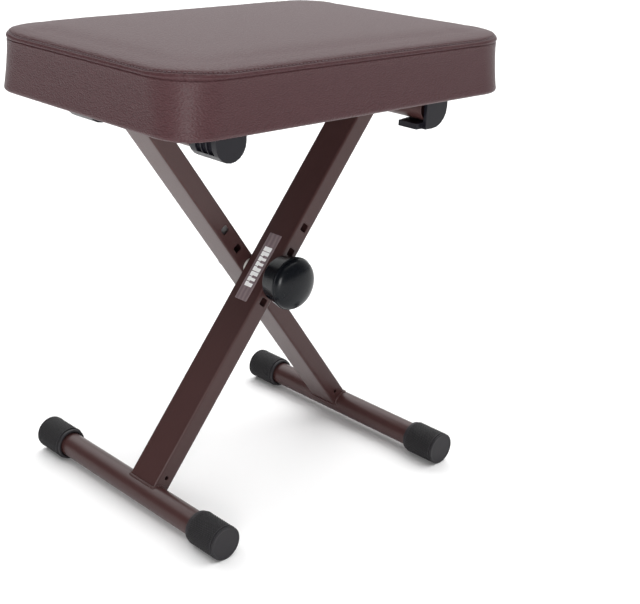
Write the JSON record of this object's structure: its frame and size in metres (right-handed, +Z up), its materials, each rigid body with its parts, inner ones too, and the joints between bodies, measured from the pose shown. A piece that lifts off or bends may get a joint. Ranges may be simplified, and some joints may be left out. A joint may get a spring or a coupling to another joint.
{
  "type": "folding piano bench",
  "caption": "Folding X-frame bench with a padded vinyl seat, hinged on one crossbar and hooked on the other, a clamp knob at the leg pivot and rubber foot caps.",
  "frame": {"origin": "on the floor, under the middle of the seat", "axes": "+Z up; +X along the seat's length, from its hinged end to its hooked end; -Y towards the clamp knob"},
  "size_m": [0.419, 0.29, 0.4616],
  "materials": {
    "leg_paint": "satin",
    "cover_vinyl": "satin",
    "foam": "matte",
    "plywood": "matte",
    "dust_cloth": "matte",
    "black_plastic": "satin",
    "knob_plastic": "gloss",
    "cap_rubber": "matte",
    "plated_steel": "satin",
    "nylon": "matte",
    "label_film": "satin"
  },
  "bodies": {
    "rear_frame": {"rear_leg": "leg_paint", "rear_crossbar": "leg_paint", "rear_foot_tube": "leg_paint", "rear_foot_cap_front": "cap_rubber", "rear_foot_cap_rear": "cap_rubber", "pivot_bolt": "plated_steel", "bolt_washer": "plated_steel", "leg_spacer": "nylon"},
    "front_frame": {"front_leg": "leg_paint", "front_crossbar": "leg_paint", "front_foot_tube": "leg_paint", "front_foot_cap_front": "cap_rubber", "front_foot_cap_rear": "cap_rubber", "leg_label": "label_film"},
    "seat": {"seat_board": "plywood", "seat_foam": "foam", "cover_side_band": "cover_vinyl", "cover_top_panel": "cover_vinyl", "dust_cover": "dust_cloth", "hinge_bracket_front": "black_plastic", "hinge_bracket_rear": "black_plastic", "hook_bracket_front": "black_plastic", "hook_bracket_rear": "black_plastic", "hinge_screw_front_a": "plated_steel", "hinge_screw_front_b": "plated_steel", "hinge_screw_rear_a": "plated_steel", "hinge_screw_rear_b": "plated_steel", "hook_screw_front_a": "plated_steel", "hook_screw_front_b": "plated_steel", "hook_screw_rear_a": "plated_steel", "hook_screw_rear_b": "plated_steel"},
    "washer": {"knob_washer": "plated_steel"},
    "knob": {"clamp_knob": "knob_plastic", "knob_nut": "plated_steel"}
  },
  "joints": [
    {"name": "leg_fold", "type": "hinge", "parent": "rear_frame", "child": "front_frame", "pos_m": [0, 0, 0.21375], "axis": [0, -1, 0], "range_deg": [0, 64]},
    {"name": "seat_hinge", "type": "hinge", "parent": "rear_frame", "child": "seat", "pos_m": [-0.12906, 0, 0.38194], "axis": [0, -1, 0], "range_deg": [0, 33]},
    {"name": "knob_travel", "type": "slide", "parent": "rear_frame", "child": "washer", "axis": [0, -1, 0], "range_m": [0, 0.0038]},
    {"name": "knob_turn", "type": "hinge", "parent": "washer", "child": "knob", "pos_m": [0, 0, 0.21375], "axis": [0, -1, 0], "range_deg": [0, 1080]}
  ],
  "couplings": [
    {"joint": "seat_hinge", "follows": "leg_fold", "ratio": 0.5},
    {"joint": "knob_travel", "follows": "knob_turn", "m_per_rad": 0.00019894}
  ]
}
